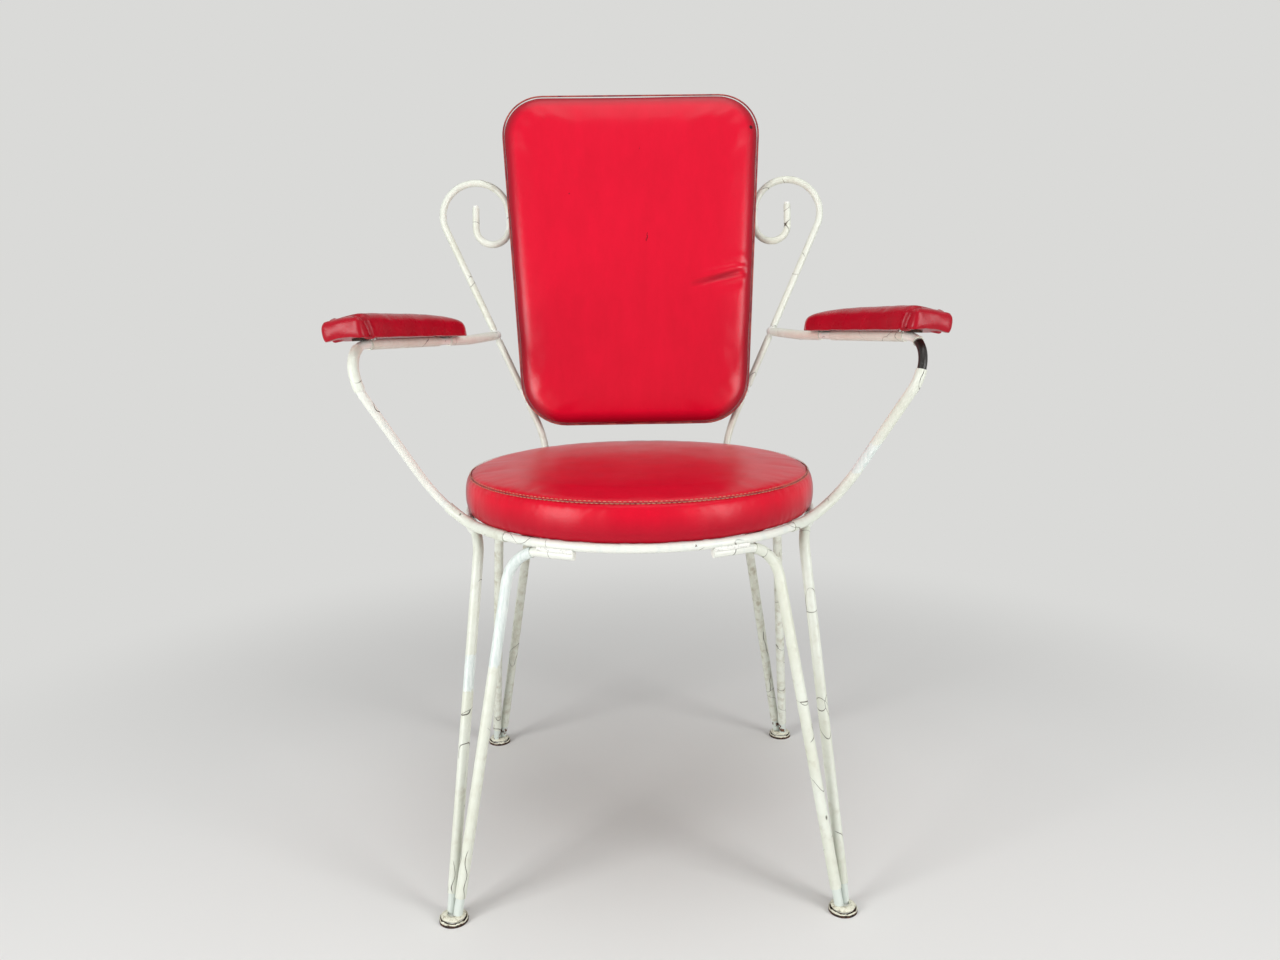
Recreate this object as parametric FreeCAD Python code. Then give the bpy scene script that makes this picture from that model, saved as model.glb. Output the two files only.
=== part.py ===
import FreeCAD, Part
import math
import os

# Bent-rod garden armchair with sleeved steel rods and a vinyl seat, back and arm pads.
# Millimetres. +X is the sitter's left (the viewer's right), the chair faces -Y, +Z is up.
# Every piece is built round the axis of the seat ring, and the whole chair is then shifted
# along Y, so that the origin is on the floor, in the middle of its width and its depth.

V = FreeCAD.Vector
origin = V(0, 0, 0)

# ---- rods, sleeves and fits ----
rod_d = 9.5                # steel rod of the ring, the arms and the legs
scroll_rod_d = 7.5         # thinner steel rod of the back stiles and their scrolls
sleeve_wall = 1.0          # plastic sleeve drawn over the arm and leg rods
scroll_sleeve_wall = 0.8
sleeve_fit = 0.05          # radial gap between a rod and its sleeve
touch = 0.05               # gap left where two pieces lie on each other
cope_fit = 0.3             # gap between a rod and a piece shaped round it
bead_r = 2.6               # weld bead
lap_bead_out = 3.6         # lap bead's middle outside the ring's centreline
ring_bead_r = 4.3          # bead beside the arm rod, on the end of the rear ring
ring_bead_turn = 1.5       # degrees past the rear ring's end
ring_bead_out = 2.9        # outside and above the ring's centreline
ring_bead_up = 3.3
stile_bead_r = 3.4         # bead each side of a stile's foot
stile_bead_side = 4.75     # from the stile's centreline
stile_bead_in = 4.7
foot_weld_h = 3.2          # fillet weld round the two rods of a foot
foot_weld_low_r = 11.0
foot_weld_top_r = 7.0

# ---- seat ring ----
ring_r = 198.0             # radius of the ring's centreline
ring_z = 391.0             # height of the ring's centreline
tangent_angle = 52.0       # from straight ahead to where the arm rod leaves the ring

# ---- legs ----
foot_x = 203.0             # half the distance between left and right feet
foot_y = 211.0             # half the distance between front and rear feet
disc_d = 30.0              # foot disc
disc_t = 3.0
disc_chamfer = 0.8
inner_lap = (32.0, 20.5)   # angles between which the inner leg rod lies under the ring
outer_lap = (68.0, 84.0)   # the same for the outer leg rod
inner_bend_run = 36.0      # tangent length of the inner rod's top bend
outer_bend_run = 22.0      # tangent length of the outer rod's top bend
foot_bare = 26.0           # bare rod between the disc and the leg sleeve
lap_bare = 10.0            # bare rod between the leg sleeve and the ring

# ---- back stiles and scrolls, drawn in the reclined back plane ----
recline = 12.0             # of the back plane from upright
stile_gap = 119.2          # half the distance between the stiles' lower ends
stile_below = 3.0          # the stile's end below the ring's centreline
stile_rise = 22.0          # straight run before the stile splays
splay = 24.4               # outward lean of the stile, in the back plane
splay_r = 150.0
stile_run = 282.0          # straight splayed run up to the scroll
scroll_r = 44.0            # outer turn of the scroll
scroll_mid_run = 17.0      # straight run between the scroll's two turns
curl_r = 22.0              # inner turn of the scroll
curl_tail = 30.0           # straight end of the curl
stile_sleeve_start = 16.0  # bare rod above the ring
curl_bare = 3.0            # bare rod at the curl's end

# ---- arm rod, right side; the left is its mirror image ----
arm_joint_run = 211.0      # distance up the stile, from its lower end, to the arm's end
arm_rear_x = 209.5         # corner of the slight bend behind the arm pad
arm_rear_y = 132.0
arm_rear_z = 580.2
arm_front_x = 312.0        # corner of the arm's front bend
arm_front_y = -140.0
arm_front_z = 590.0
arm_tangent_run = 92.0     # run along the ring's tangent before the arm turns up
rear_bend_r = 60.0
front_bend_r = 37.0
low_bend_r = 62.0

# ---- sleeves of the arm rod, as distances along it from the rod's end at the stile ----
arm_joint_bare = 9.0
tab_bare = 12.0            # bare rod each side of a tab's middle
stile_joint_bare = 8.0     # bare stile each side of the arm's end
left_upper_end = 375.0
left_lower_start = 540.0
left_lower_end = 643.0
right_upper_end = 326.0
right_lower_start = 362.0
right_lower_end = 616.0

# ---- tabs and wood screws ----
tab_t = 2.5
tab_w = 16.0
tab_corner_r = 4.8
seat_tab_angles = (40.0, 135.0, 225.0, 320.0)
seat_tab_reach = 32.0
seat_tab_top = 1.0         # above the ring's centreline
back_tab_low = 112.0       # height in the back plane
back_tab_cover = 35.0      # how far a tab reaches in from the cushion's edge
arm_tab_in = 34.0          # from each end of the pad to the middle of a tab
arm_tab_reach = 22.0
arm_tab_back = 6.0
screw_d = 4.0
screw_head_d = 7.6
screw_head_t = 2.4
screw_l = 10.5
screw_tip_l = 2.8
screw_fit = 0.1            # radial gap round a screw
tab_edge = 7.0             # from the tab's free end to the screw

# ---- upholstery ----
vinyl_t = 1.1
cushion_fit = 0.3          # gap under a cushion, and between its layers
board_t = 9.0
hollow_depth = 1.2         # how far the foam's hollow runs on below the board
welt_w = 1.8               # square strip sewn along a seam
welt_sunk = 0.6            # how deep its inner corner lies in the vinyl

seat_rim_out = 2.0         # cushion's widest radius beyond the ring's centreline
seat_seam_in = 4.4         # from the widest radius in to the seam
seat_tuck_in = 5.0         # from the widest radius in to the top of the underside's rounding
seat_under_in = 14.0       # from the widest radius in to the flat underside
seat_board_in = 16.0       # from the widest radius in to the board's edge
seat_tuck_round = 2.3      # how far the rounding's middle is cut in from the corner
seat_hem = 36.0            # width of the vinyl turned under the seat board
seat_h = 53.0              # seat cushion's height at its middle
seat_seam_h = 44.3         # of the seam above the cushion's underside
seat_widest_h = 21.0
seat_tuck_h = 7.2          # where the underside's rounding meets the side

back_low = 72.0            # lower edge of the back cushion, in the back plane
back_h = 434.0
back_past_stile = 1.3      # cushion's edge beyond the stile's centreline, at the lower tab
back_past_scroll = -2.6    # the same at the upper tab
back_corner_r = 55.0
back_t = 32.0
back_front_fillet = 12.0
back_rear_fillet = 3.0
back_board_inset = 5.0
back_hem = 26.0            # vinyl turned over the back board's edge
back_panel_t = 2.5
back_panel_inset = 12.0

pad_w = 52.0
pad_t = 25.0               # thickness at the front end
pad_rear_t = 22.0          # thickness at the rear end
pad_roll = 10.0            # outward lean of the pad, about the arm rod
pad_rear = 30.0            # rear end of the pad, in front of the arm's rear bend
pad_l = 235.0
pad_front_r = 7.0
pad_fillet = 8.0
pad_low_fillet = 3.0
pad_board_inset = 5.0
pad_hem = 13.0

rod_r = rod_d / 2
stile_r = scroll_rod_d / 2


# ---- paths: chains of straight edges and tangent arcs ----

def line(p, q):
    return Part.LineSegment(p, q).toShape()


def arc(p, m, q):
    return Part.Arc(p, m, q).toShape()


def unit(v):
    return V(v).normalize()


def corner_arc(before, corner, after, radius):
    """Arc that rounds a corner, with its two tangent points."""
    u = unit(before - corner)
    w = unit(after - corner)
    half = u.getAngle(w) / 2
    run = radius / math.tan(half)
    middle = corner + unit(u + w) * (radius / math.sin(half) - radius)
    return corner + u * run, middle, corner + w * run


def rounded(points, radii):
    """Path through the points, each inner corner rounded by its radius."""
    edges = []
    start = points[0]
    for i, radius in enumerate(radii):
        p, m, q = corner_arc(points[i], points[i + 1], points[i + 2], radius)
        edges += [line(start, p), arc(p, m, q)]
        start = q
    edges.append(line(start, points[-1]))
    return edges


def trimmed(path, start, end):
    """Stretch of a path between two distances along it."""
    edges = []
    done = 0.0
    for edge in path:
        low = max(start - done, 0.0)
        high = min(end - done, edge.Length)
        if high - low > 0.01:
            first = edge.getParameterByLength(low)
            last = edge.getParameterByLength(high)
            edges.append(edge.Curve.toShape(first, last))
        done += edge.Length
    return edges


def length(path):
    return sum(edge.Length for edge in path)


def place(path, distance):
    """Point and direction at a distance along a path."""
    for edge in path:
        if distance <= edge.Length + 1e-6:
            at = edge.getParameterByLength(min(distance, edge.Length))
            return edge.valueAt(at), unit(edge.tangentAt(at))
        distance -= edge.Length
    raise ValueError("beyond the path's end")


# ---- round sections carried along a path ----

def disc_face(point, direction, radius):
    return Part.Face(Part.Wire(Part.makeCircle(radius, point, direction)))


def section(point, direction, radius, bore):
    face = disc_face(point, direction, radius)
    return face.cut(disc_face(point, direction, bore)).Faces[0] if bore else face


def carried(edge, radius, bore):
    first, last = edge.ParameterRange
    start = edge.valueAt(first)
    face = section(start, edge.tangentAt(first), radius, bore)
    if isinstance(edge.Curve, Part.Circle):
        return face.revolve(edge.Curve.Center, edge.Curve.Axis, math.degrees(last - first))
    return face.extrude(edge.valueAt(last) - start)


def rod(path, radius, bore=0.0):
    runs = [carried(edge, radius, bore) for edge in path]
    joined = runs[0].multiFuse(runs[1:]) if len(runs) > 1 else runs[0]
    return joined.removeSplitter().Solids[0]


def sleeve(path, rod_radius, wall):
    return rod(path, rod_radius + sleeve_fit + wall, rod_radius + sleeve_fit)


def mirrored_x(shape):
    return shape.mirror(origin, V(1, 0, 0))


def mirrored_y(shape):
    return shape.mirror(origin, V(0, 1, 0))


def group(shapes):
    return Part.makeCompound([solid for shape in shapes for solid in shape.Solids])


# ---- the ring and the arms: one long rod in front, an arc behind ----

def on_ring(angle, radius=ring_r, z=ring_z):
    """Point of a circle about the ring's axis; 0 is straight ahead, 90 is +X."""
    a = math.radians(angle)
    return V(radius * math.sin(a), -radius * math.cos(a), z)


def ring_direction(angle):
    a = math.radians(angle)
    return V(math.cos(a), math.sin(a), 0)


def ring_arc(start, end, radius=ring_r, z=ring_z):
    return arc(on_ring(start, radius, z), on_ring((start + end) / 2, radius, z),
               on_ring(end, radius, z))


rear_ring_start = tangent_angle + math.degrees(math.acos(1 - (rod_d + touch) / ring_r))


def back_point(x, h, out=0.0):
    """Point of the back plane: x across, h up the slope, out towards the sitter."""
    t = math.radians(recline)
    return V(x, stile_y + h * math.sin(t) - out * math.cos(t),
             ring_z + h * math.cos(t) + out * math.sin(t))


def stile_stand_off():
    """How far behind the ring's centreline a stile stands, to touch the ring's rod."""
    t = math.radians(recline)
    ring_y = math.sqrt(ring_r ** 2 - stile_gap ** 2)
    along = V(ring_y, -stile_gap, 0).normalize()
    normal = V(0, math.sin(t), math.cos(t)).cross(along).normalize()
    return ring_y + (rod_r + stile_r + touch) / abs(normal.y)


stile_y = stile_stand_off()


def stile_path():
    """Right stile: up, out, over the top of the scroll, down and back up in the curl."""
    edges = []
    x, h, heading = stile_gap, -stile_below, 0.0

    def forward(distance):
        nonlocal x, h
        start = back_point(x, h)
        x += distance * math.sin(math.radians(heading))
        h += distance * math.cos(math.radians(heading))
        edges.append(line(start, back_point(x, h)))

    def turn(radius, angle):
        nonlocal x, h, heading
        side = math.copysign(1.0, angle)
        cx = x + side * radius * math.cos(math.radians(heading))
        ch = h - side * radius * math.sin(math.radians(heading))
        spots = []
        for share in (0.0, 0.5, 1.0):
            a = math.radians(heading + share * angle)
            spots.append((cx - side * radius * math.cos(a), ch + side * radius * math.sin(a)))
        edges.append(arc(*[back_point(*spot) for spot in spots]))
        x, h = spots[2]
        heading += angle

    forward(stile_rise)
    turn(splay_r, splay)
    forward(stile_run)
    turn(scroll_r, -splay - 180.0)
    forward(scroll_mid_run)
    turn(curl_r, -180.0)
    forward(curl_tail)
    return edges


stile = stile_path()
joint, _ = place(stile, arm_joint_run)
arm_rear = V(arm_rear_x, arm_rear_y, arm_rear_z)
arm_front = V(arm_front_x, arm_front_y, arm_front_z)
arm_turn = on_ring(tangent_angle) + ring_direction(tangent_angle) * arm_tangent_run


def arm_path():
    """Right arm, from the stile round to where it runs into the ring."""
    points = [joint, arm_rear, arm_front, arm_turn, on_ring(tangent_angle)]
    return rounded(points, [rear_bend_r, front_bend_r, low_bend_r])


def flipped(path):
    """A path's mirror image in the plane x = 0."""
    edges = []
    for edge in path:
        first, last = edge.ParameterRange
        p, m, q = [edge.valueAt(u) for u in (first, (first + last) / 2, last)]
        p, m, q = [V(-s.x, s.y, s.z) for s in (p, m, q)]
        if isinstance(edge.Curve, Part.Circle):
            edges.append(arc(p, m, q))
        else:
            edges.append(line(p, q))
    return edges


def reversed_path(path):
    edges = []
    for edge in reversed(path):
        first, last = edge.ParameterRange
        p, m, q = [edge.valueAt(u) for u in (last, (first + last) / 2, first)]
        if isinstance(edge.Curve, Part.Circle):
            edges.append(arc(p, m, q))
        else:
            edges.append(line(p, q))
    return edges


right_arm = arm_path()
left_arm = flipped(right_arm)
from_right = right_arm + [ring_arc(tangent_angle, -tangent_angle)]
from_left = flipped(from_right)


def cope(path, radius):
    """Space taken by a rod, for shaping what is welded to it."""
    return rod(path, radius + cope_fit)


def front_rod():
    whole = rod(from_left + reversed_path(right_arm), rod_r)
    stile_space = cope(stile, stile_r)
    return whole.cut(stile_space).cut(mirrored_x(stile_space)).Solids[0]


def rear_ring():
    return rod([ring_arc(rear_ring_start, 360.0 - rear_ring_start)], rod_r)


# ---- legs: two rods from each foot, hooked under the ring ----

lap_z = ring_z - rod_d - touch


def leg_path(lap, bend_run, side):
    """Front right leg rod; side is -1 for the inner rod and +1 for the outer one."""
    start, end = lap
    spread = (rod_r + touch / 2) * side
    foot_angle = math.degrees(math.atan2(foot_x, foot_y))
    foot = V(foot_x, -foot_y, 0) + ring_direction(foot_angle) * spread
    travel = ring_direction(start) * side
    knee = on_ring(start, z=lap_z) - travel * bend_run
    half_turn = (knee - foot).getAngle(travel) / 2
    p, m, q = corner_arc(foot, knee, on_ring(start, z=lap_z), bend_run / math.tan(half_turn))
    return [line(foot, p), arc(p, m, q), ring_arc(start, end, z=lap_z)]


def leg_rod(path):
    """Its lower end is cut level, on top of the foot disc."""
    corner = V(foot_x - disc_d, -foot_y - disc_d, -disc_d)
    floor = Part.makeBox(disc_d * 2, disc_d * 2, disc_d + disc_t, corner)
    below = path[0].tangentAt(0) * -rod_d
    longer = [line(path[0].valueAt(0) + below, path[0].valueAt(path[0].Length))] + path[1:]
    return rod(longer, rod_r).cut(floor).Solids[0]


def leg_sleeve(path):
    end = path[0].Length + path[1].Length - lap_bare
    return sleeve(trimmed(path, foot_bare, end), rod_r, sleeve_wall)


def foot_disc():
    disc = Part.makeCylinder(disc_d / 2, disc_t, V(foot_x, -foot_y, 0))
    return disc.makeChamfer(disc_chamfer, [disc.Edges[0]])


# ---- welds ----

def lap_weld(lap, leg_space):
    start, end = sorted(lap)
    bead = rod([ring_arc(start, end, ring_r + lap_bead_out, ring_z - rod_r)], bead_r)
    return bead.cut(ring_space).cut(leg_space)


def foot_weld(spaces):
    bead = Part.makeCone(foot_weld_low_r, foot_weld_top_r, foot_weld_h,
                         V(foot_x, -foot_y, disc_t))
    for space in spaces:
        bead = bead.cut(space)
    return bead


def ball_weld(point, radius, spaces):
    bead = Part.makeSphere(radius, point)
    for space in spaces:
        bead = bead.cut(space)
    return bead


# ---- tabs and screws ----

def screw():
    """Pan-head wood screw, head under z = 0, shank up."""
    head = Part.makeCylinder(screw_head_d / 2, screw_head_t, V(0, 0, -screw_head_t))
    tip = Part.makeCone(screw_d / 2, 0.0, screw_tip_l, V(0, 0, screw_l))
    return head.fuse([Part.makeCylinder(screw_d / 2, screw_l), tip]).removeSplitter()


def screw_hole():
    return Part.makeCylinder(screw_d / 2 + screw_fit, screw_l + screw_d,
                             V(0, 0, -screw_head_t / 2))


def frame_at(point, x_axis, z_axis):
    """Placement whose local x and z axes point the given ways."""
    z = unit(z_axis)
    x = unit(x_axis - z * x_axis.dot(z))
    y = z.cross(x)
    matrix = FreeCAD.Matrix(x.x, y.x, z.x, point.x, x.y, y.y, z.y, point.y,
                            x.z, y.z, z.z, point.z, 0, 0, 0, 1)
    return FreeCAD.Placement(matrix)


def placed(shape, placement):
    moved = shape.copy()
    moved.Placement = placement.multiply(shape.Placement)
    return moved


def tab(reach, back):
    """Flat tab, local x along its reach, its top at z = 0."""
    plate = Part.makeBox(reach + back, tab_w, tab_t, V(-back, -tab_w / 2, -tab_t))
    upright = [e for e in plate.Edges if abs(e.tangentAt(0).z) > 0.9 and e.valueAt(0).x > 0]
    return plate.makeFillet(tab_corner_r, upright)


# ---- cushions: an outer form, an offset form inside it, and what lies between ----

def region(edges):
    return Part.Face(Part.Wire(edges))


def seat_form(inset):
    """Seat cushion turned about the ring's axis, shrunk by an inset."""
    low = seat_z + inset
    top = seat_z + seat_h - inset
    diagonal = inset * math.sqrt(0.5)
    tuck_r = seat_rim_r - seat_tuck_in
    edge_r = seat_seam_r - inset
    rise = seat_h - seat_seam_h
    crown_r = (edge_r ** 2 + rise ** 2) / (2 * rise)
    crown_z = top - crown_r + math.sqrt(crown_r ** 2 - (edge_r / 2) ** 2)
    p = [V(0, 0, low), V(seat_under_r, 0, low), V(tuck_r - inset, 0, seat_z + seat_tuck_h),
         V(edge_r, 0, top - rise), V(0, 0, top)]
    under = V(tuck_r - seat_tuck_round - diagonal, 0, seat_z + seat_tuck_round + diagonal)
    side = V(seat_rim_r - inset, 0, seat_z + seat_widest_h)
    crown = V(edge_r / 2, 0, crown_z)
    edges = [line(p[0], p[1]), arc(p[1], under, p[2]), arc(p[2], side, p[3]),
             arc(p[3], crown, p[4]), line(p[4], p[0])]
    return region(edges).revolve(origin, V(0, 0, 1), 360)


seat_z = ring_z + seat_tab_top + cushion_fit
seat_rim_r = ring_r + seat_rim_out
seat_seam_r = seat_rim_r - seat_seam_in
seat_under_r = seat_rim_r - seat_under_in


def back_height(point):
    """Height of a point of the back plane, measured up its slope."""
    return (point.z - ring_z) / math.cos(math.radians(recline))


def stile_distance(h):
    """Distance along the stile of the point at a height in the back plane."""
    bend_end, _ = place(stile, length(stile[:2]))
    return length(stile[:2]) + (h - back_height(bend_end)) / math.cos(math.radians(splay))


low_tab_run = stile_distance(back_tab_low)
high_tab_run = length(stile[:4]) + scroll_mid_run / 2
low_tab_spot, _ = place(stile, low_tab_run)
high_tab_spot, _ = place(stile, high_tab_run)


def back_half(h):
    """Half the cushion's width at a height: its sides follow the stiles at the tabs."""
    low, high = low_tab_spot.x + back_past_stile, high_tab_spot.x + back_past_scroll
    share = (h - back_tab_low) / (back_height(high_tab_spot) - back_tab_low)
    return low + (high - low) * share


def back_outline(inset):
    """Rounded trapezium in the back plane's own coordinates."""
    low, high = back_low + inset, back_low + back_h - inset
    lean = (back_half(high) - back_half(low)) / (high - low)
    wide_low, wide_high = [back_half(h) - inset * math.hypot(1, lean) for h in (low, high)]
    corners = [V(0, low, 0), V(wide_low, low, 0), V(wide_high, high, 0),
               V(-wide_high, high, 0), V(-wide_low, low, 0), V(0, low, 0)]
    return Part.Wire(rounded(corners, [back_corner_r - inset] * 4))


def back_form(inset):
    slab = Part.Face(back_outline(inset)).extrude(V(0, 0, back_t - 2 * inset))
    slab.translate(V(0, 0, inset))
    front = [e for e in slab.Edges if min(v.Z for v in e.Vertexes) > back_t - inset - 0.01]
    slab = slab.makeFillet(back_front_fillet - inset, front)
    rear = [e for e in slab.Edges if max(v.Z for v in e.Vertexes) < inset + 0.01]
    return slab.makeFillet(back_rear_fillet - inset * 0.5, rear)


def pad_outline(inset):
    """Arm pad seen from above: round at the rear, square with small corners in front."""
    half = pad_w / 2 - inset
    rear, front = pad_rear + inset, pad_rear + pad_l - inset
    middle, tail = V(rear, 0, 0), V(rear + half, half, 0)
    corners = [V(rear + half, -half, 0), V(front, -half, 0), V(front, half, 0), tail]
    sides = rounded(corners, [pad_front_r - inset / 2] * 2)
    return Part.Wire(sides + [arc(tail, middle, corners[0])])


def pad_form(inset):
    """Its top slopes down to the rear."""
    rear, front = pad_rear + inset, pad_rear + pad_l - inset
    corners = [V(rear, 0, inset), V(front, 0, inset), V(front, 0, pad_t - inset),
               V(rear, 0, pad_rear_t - inset)]
    corners = [V(p.x, -pad_w, p.z) for p in corners]
    wedge = Part.Face(Part.makePolygon(corners + corners[:1])).extrude(V(0, pad_w * 2, 0))
    slab = Part.Face(pad_outline(inset)).extrude(V(0, 0, pad_t)).common(wedge)
    top = [e for e in slab.Edges if min(v.Z for v in e.Vertexes) > pad_rear_t - inset - 0.01]
    slab = slab.makeFillet(pad_fillet - inset, top)
    low = [e for e in slab.Edges if max(v.Z for v in e.Vertexes) < inset + 0.01]
    return slab.makeFillet(pad_low_fillet - inset / 2, low)


def layered(form, board_space, hem_hole, holes, grooves=()):
    """Cover, foam and board of one cushion, drilled for its screws."""
    cover = form(0.0).cut(form(vinyl_t)).cut(hem_hole)
    foam = form(vinyl_t + cushion_fit).cut(board_space(cushion_fit, hollow_depth))
    board = board_space(0.0, 0.0)
    for groove in grooves:
        cover = cover.cut(groove)
    for hole in holes:
        cover, foam, board = [shape.cut(hole) for shape in (cover, foam, board)]
    return cover, foam, board


# ---- assembly ----

parts = {}


def add(name, shape):
    parts[name] = shape


def add_pair(name, shape):
    """A piece on the +X side and its mirror image."""
    add(name + "_right", shape)
    add(name + "_left", mirrored_x(shape))


def four_ways(shapes):
    half = shapes + [mirrored_x(shape) for shape in shapes]
    return group(half + [mirrored_y(shape) for shape in half])


full_ring = [ring_arc(0, 180), ring_arc(180, 360)]
arm_space = cope(from_right, rod_r)
ring_space = cope(full_ring, rod_r)
stile_space = cope(stile, stile_r)


def add_legs():
    rods = {"inner": leg_path(inner_lap, inner_bend_run, -1),
            "outer": leg_path(outer_lap, outer_bend_run, 1)}
    for name, path in rods.items():
        for kind, piece in (("rod", leg_rod(path)), ("sleeve", leg_sleeve(path))):
            add_pair("front_leg_%s_%s" % (name, kind), piece)
            add_pair("rear_leg_%s_%s" % (name, kind), mirrored_y(piece))
    disc = foot_disc()
    add_pair("front_foot_disc", disc)
    add_pair("rear_foot_disc", mirrored_y(disc))
    spaces = [cope(path, rod_r) for path in rods.values()]
    beads = [lap_weld(inner_lap, spaces[0]), lap_weld(outer_lap, spaces[1])]
    add("leg_top_welds", four_ways(beads))
    add("foot_welds", four_ways([foot_weld(spaces)]))


def sleeves_between(path, radius, wall, start, end, bare_places):
    """Lengths of sleeve along a rod, stopping short of each bare place on it."""
    pieces = []
    for middle, bare in sorted(bare_places) + [(end, 0.0)]:
        if middle - bare > start:
            pieces.append(sleeve(trimmed(path, start, min(middle - bare, end)), radius, wall))
            start = middle + bare
    return group(pieces)


arm_lead = joint.distanceToPoint(arm_rear)     # from the stile to the rear bend's corner
arm_way = arm_front - arm_rear
level_pad = frame_at(arm_rear, arm_way, arm_way.cross(V(0, 0, 1).cross(arm_way)))
pad_frame = level_pad.multiply(FreeCAD.Placement(origin, FreeCAD.Rotation(V(1, 0, 0), -pad_roll)))
arm_tab_z = rod_r + touch + tab_t
arm_tab_spots = (pad_rear + arm_tab_in, pad_rear + pad_l - arm_tab_in)


def add_arms():
    add("arm_and_front_ring_rod", front_rod())
    add("rear_ring_rod", rear_ring())
    gaps = [(arm_lead + spot, tab_bare) for spot in arm_tab_spots]
    for side, path, upper_end, start, end in (
            ("left", from_left, left_upper_end, left_lower_start, left_lower_end),
            ("right", from_right, right_upper_end, right_lower_start, right_lower_end)):
        add("arm_upper_sleeve_" + side,
            sleeves_between(path, rod_r, sleeve_wall, arm_joint_bare, upper_end, gaps))
        add("arm_lower_sleeve_" + side, sleeve(trimmed(path, start, end), rod_r, sleeve_wall))
    tabs, screws, holes = [], [], []
    for along in arm_tab_spots:
        at = frame_at(V(along, 0, arm_tab_z), V(0, -1, 0), V(0, 0, 1))
        tabs.append(placed(tab(arm_tab_reach, arm_tab_back), at))
        spot = frame_at(V(along, tab_edge - arm_tab_reach, arm_tab_z - tab_t),
                        V(1, 0, 0), V(0, 0, 1))
        screws.append(placed(screw(), spot))
        holes.append(placed(screw_hole(), spot))
    drilled = [plate.cut(hole) for plate, hole in zip(tabs, holes)]
    arm_pieces("arm_tabs", [placed(plate, pad_frame) for plate in drilled])
    arm_pieces("arm_screws", [placed(piece, pad_frame) for piece in screws])
    add_arm_pad(holes)


def arm_pieces(name, shapes):
    add(name, group(shapes + [mirrored_x(shape) for shape in shapes]))


def add_arm_pad(holes):
    lift = arm_tab_z + touch

    def board_space(fit, below):
        inset = vinyl_t + pad_board_inset - fit
        slab = Part.Face(pad_outline(inset)).extrude(V(0, 0, board_t + fit + below))
        slab.translate(V(0, 0, vinyl_t + touch - below))
        return slab

    window = Part.Face(pad_outline(pad_hem)).extrude(V(0, 0, vinyl_t * 2))
    window.translate(V(0, 0, -vinyl_t / 2))
    lowered = []
    for hole in holes:
        hole = hole.copy()
        hole.translate(V(0, 0, -lift))
        lowered.append(hole)
    layers = layered(pad_form, board_space, window, lowered)
    raised = FreeCAD.Placement(V(0, 0, lift), FreeCAD.Rotation())
    for name, shape in zip(("arm_pad_cover", "arm_pad_foam", "arm_pad_board"), layers):
        add_pair(name, placed(placed(shape, raised), pad_frame))


def add_stiles():
    add_pair("back_stile", rod(stile, stile_r))
    bare = [(low_tab_run, tab_bare), (arm_joint_run, stile_joint_bare),
            (high_tab_run, tab_bare)]
    end = length(stile) - curl_bare
    add_pair("stile_sleeve", sleeves_between(stile, stile_r, scroll_sleeve_wall,
                                             stile_sleeve_start + stile_below, end, bare))
    tabs, screws, holes = [], [], []
    for point in (low_tab_spot, high_tab_spot):
        front = stile_r + sleeve_fit + scroll_sleeve_wall
        reach = point.x - back_half(back_height(point)) + back_tab_cover
        at = frame_at(point + back_normal * front, V(-1, 0, 0), back_normal)
        spot = at.multiply(frame_at(V(reach - tab_edge, 0, -tab_t),
                                    V(1, 0, 0), V(0, 0, 1)))
        hole = placed(screw_hole(), spot)
        plate = placed(tab(reach, 0), at)
        tabs.append(plate.cut(stile_space).cut(hole).Solids[0])
        screws.append(placed(screw(), spot))
        holes.append(hole)
    arm_pieces("back_tabs", tabs)
    arm_pieces("back_screws", screws)
    add_back(holes + [mirrored_x(hole) for hole in holes])


back_normal = unit(back_point(0, 0, 1) - back_point(0, 0))


def add_back(holes):
    tab_front = stile_r + sleeve_fit + scroll_sleeve_wall
    panel_frame = frame_at(back_point(0, 0, tab_front + touch), V(1, 0, 0), back_normal)
    cushion_frame = frame_at(back_point(0, 0, tab_front + back_panel_t + touch * 2),
                             V(1, 0, 0), back_normal)
    local_holes = [placed(hole, cushion_frame.inverse()) for hole in holes]

    def board_space(fit, below):
        inset = vinyl_t + back_board_inset - fit
        slab = Part.Face(back_outline(inset)).extrude(V(0, 0, board_t + fit + below))
        slab.translate(V(0, 0, vinyl_t + touch - below))
        return slab

    window = Part.Face(back_outline(back_hem)).extrude(V(0, 0, vinyl_t * 2))
    window.translate(V(0, 0, -vinyl_t / 2))
    proud = welt_w / 2 - welt_sunk * math.sqrt(0.5)
    seam = back_front_fillet * (1 - math.sqrt(0.5)) - proud

    def strip(half):
        face = Part.Face(back_outline(seam - half)).cut(Part.Face(back_outline(seam + half)))
        band = face.extrude(V(0, 0, half * 2))
        band.translate(V(0, 0, back_t - seam - half))
        return band

    welt = strip(welt_w / 2)
    layers = layered(back_form, board_space, window, local_holes, [strip(welt_w / 2 + touch)])
    for name, shape in zip(("back_cover", "back_foam", "back_board"), layers):
        add(name, placed(shape, cushion_frame))
    add("back_welt", placed(welt, cushion_frame))
    panel = placed(Part.Face(back_outline(back_panel_inset)).extrude(V(0, 0, back_panel_t)),
                   panel_frame)
    for hole in holes:
        panel = panel.cut(hole)
    add("back_rear_panel", panel)


def seat_strip(width, fit):
    """Square ring along the seat's seam, its inner corner sunk in the vinyl."""
    inner = seat_seam_r - welt_sunk - fit
    low = V(0, 0, seat_z + seat_seam_h - welt_sunk - fit)
    outer = Part.makeCylinder(inner + width + fit, width + fit, low)
    return outer.cut(Part.makeCylinder(inner, width + fit, low))


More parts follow.
